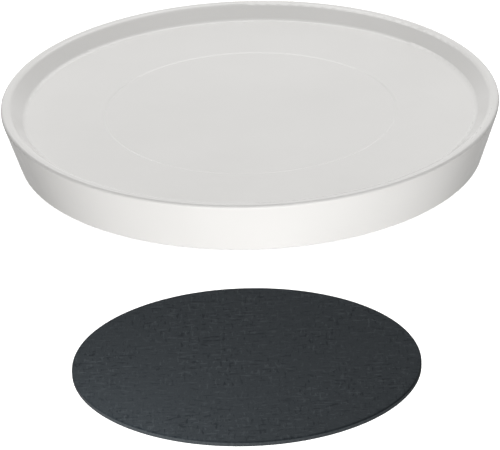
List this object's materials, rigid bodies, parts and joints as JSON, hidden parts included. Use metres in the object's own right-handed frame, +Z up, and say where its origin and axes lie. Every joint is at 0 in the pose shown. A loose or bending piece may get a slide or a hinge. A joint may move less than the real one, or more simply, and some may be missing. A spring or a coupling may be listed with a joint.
{
  "type": "lazy susan turntable",
  "caption": "Round white dished turntable tray that spins on a low ball-bearing base with rubber feet, and a loose round slate non-slip pad beside it.",
  "frame": {"origin": "on the spin axis, at the level of the table that the feet rest on", "axes": "+Z up along the spin axis, -Y towards the loose pad, +X to the right when the pad is in front"},
  "size_m": [0.3042, 0.5527, 0.0352],
  "materials": {
    "moulded_white": "satin moulded white plastic",
    "moulded_base": "plain moulded white plastic",
    "race_steel": "pressed steel",
    "ball_steel": "polished steel",
    "cage_plastic": "natural moulded plastic",
    "bush_plastic": "natural low-friction plastic",
    "zinc_steel": "bright zinc",
    "foot_rubber": "matt rubber",
    "slate_pad": "matt woven-face non-slip sheet"
  },
  "bodies": {
    "base": {"base": "moulded_base", "lower_race": "race_steel", "centre_bush": "bush_plastic", "centre_cap": "moulded_base", "foot_1": "foot_rubber", "foot_2": "foot_rubber", "foot_3": "foot_rubber", "foot_4": "foot_rubber", "foot_5": "foot_rubber", "foot_6": "foot_rubber"},
    "tray": {"tray": "moulded_white", "upper_race": "race_steel", "centre_screw": "zinc_steel", "centre_washer": "zinc_steel"},
    "cage": {"ball_cage": "cage_plastic"},
    "pad": {"pad": "slate_pad"},
    "ball_01_body": {"ball_01": "ball_steel"},
    "ball_02_body": {"ball_02": "ball_steel"},
    "ball_03_body": {"ball_03": "ball_steel"},
    "ball_04_body": {"ball_04": "ball_steel"},
    "ball_05_body": {"ball_05": "ball_steel"},
    "ball_06_body": {"ball_06": "ball_steel"},
    "ball_07_body": {"ball_07": "ball_steel"},
    "ball_08_body": {"ball_08": "ball_steel"},
    "ball_09_body": {"ball_09": "ball_steel"},
    "ball_10_body": {"ball_10": "ball_steel"},
    "ball_11_body": {"ball_11": "ball_steel"},
    "ball_12_body": {"ball_12": "ball_steel"}
  },
  "joints": [
    {"name": "tray_spin", "type": "hinge", "parent": "base", "child": "tray", "pos_m": [0, 0, 0.02], "axis": [0, 0, 1], "continuous": true},
    {"name": "cage_orbit", "type": "hinge", "parent": "base", "child": "cage", "pos_m": [0, 0, 0.00905], "axis": [0, 0, 1], "continuous": true},
    {"name": "ball_01_roll", "type": "hinge", "parent": "cage", "child": "ball_01_body", "pos_m": [0.091, 0, 0.00905], "axis": [1, 0, 0], "continuous": true},
    {"name": "ball_02_roll", "type": "hinge", "parent": "cage", "child": "ball_02_body", "pos_m": [0.07881, 0.0455, 0.00905], "axis": [0.866, 0.5, 0], "continuous": true},
    {"name": "ball_03_roll", "type": "hinge", "parent": "cage", "child": "ball_03_body", "pos_m": [0.0455, 0.07881, 0.00905], "axis": [0.5, 0.866, 0], "continuous": true},
    {"name": "ball_04_roll", "type": "hinge", "parent": "cage", "child": "ball_04_body", "pos_m": [0, 0.091, 0.00905], "axis": [0, 1, 0], "continuous": true},
    {"name": "ball_05_roll", "type": "hinge", "parent": "cage", "child": "ball_05_body", "pos_m": [-0.0455, 0.07881, 0.00905], "axis": [-0.5, 0.866, 0], "continuous": true},
    {"name": "ball_06_roll", "type": "hinge", "parent": "cage", "child": "ball_06_body", "pos_m": [-0.07881, 0.0455, 0.00905], "axis": [-0.866, 0.5, 0], "continuous": true},
    {"name": "ball_07_roll", "type": "hinge", "parent": "cage", "child": "ball_07_body", "pos_m": [-0.091, 0, 0.00905], "axis": [-1, 0, 0], "continuous": true},
    {"name": "ball_08_roll", "type": "hinge", "parent": "cage", "child": "ball_08_body", "pos_m": [-0.07881, -0.0455, 0.00905], "axis": [-0.866, -0.5, 0], "continuous": true},
    {"name": "ball_09_roll", "type": "hinge", "parent": "cage", "child": "ball_09_body", "pos_m": [-0.0455, -0.07881, 0.00905], "axis": [-0.5, -0.866, 0], "continuous": true},
    {"name": "ball_10_roll", "type": "hinge", "parent": "cage", "child": "ball_10_body", "pos_m": [0, -0.091, 0.00905], "axis": [0, -1, 0], "continuous": true},
    {"name": "ball_11_roll", "type": "hinge", "parent": "cage", "child": "ball_11_body", "pos_m": [0.0455, -0.07881, 0.00905], "axis": [0.5, -0.866, 0], "continuous": true},
    {"name": "ball_12_roll", "type": "hinge", "parent": "cage", "child": "ball_12_body", "pos_m": [0.07881, -0.0455, 0.00905], "axis": [0.866, -0.5, 0], "continuous": true},
    {"name": "pad_turn", "type": "hinge", "parent": "base", "child": "pad", "pos_m": [-0.0031, -0.1495, 0.0153], "axis": [-0.9998, 0.0207, 0], "range_deg": [0, 180]}
  ],
  "couplings": [
    {"joint": "cage_orbit", "follows": "tray_spin", "ratio": 0.5},
    {"joint": "ball_01_roll", "follows": "tray_spin", "ratio": -11.375},
    {"joint": "ball_02_roll", "follows": "tray_spin", "ratio": -11.375},
    {"joint": "ball_03_roll", "follows": "tray_spin", "ratio": -11.375},
    {"joint": "ball_04_roll", "follows": "tray_spin", "ratio": -11.375},
    {"joint": "ball_05_roll", "follows": "tray_spin", "ratio": -11.375},
    {"joint": "ball_06_roll", "follows": "tray_spin", "ratio": -11.375},
    {"joint": "ball_07_roll", "follows": "tray_spin", "ratio": -11.375},
    {"joint": "ball_08_roll", "follows": "tray_spin", "ratio": -11.375},
    {"joint": "ball_09_roll", "follows": "tray_spin", "ratio": -11.375},
    {"joint": "ball_10_roll", "follows": "tray_spin", "ratio": -11.375},
    {"joint": "ball_11_roll", "follows": "tray_spin", "ratio": -11.375},
    {"joint": "ball_12_roll", "follows": "tray_spin", "ratio": -11.375}
  ]
}
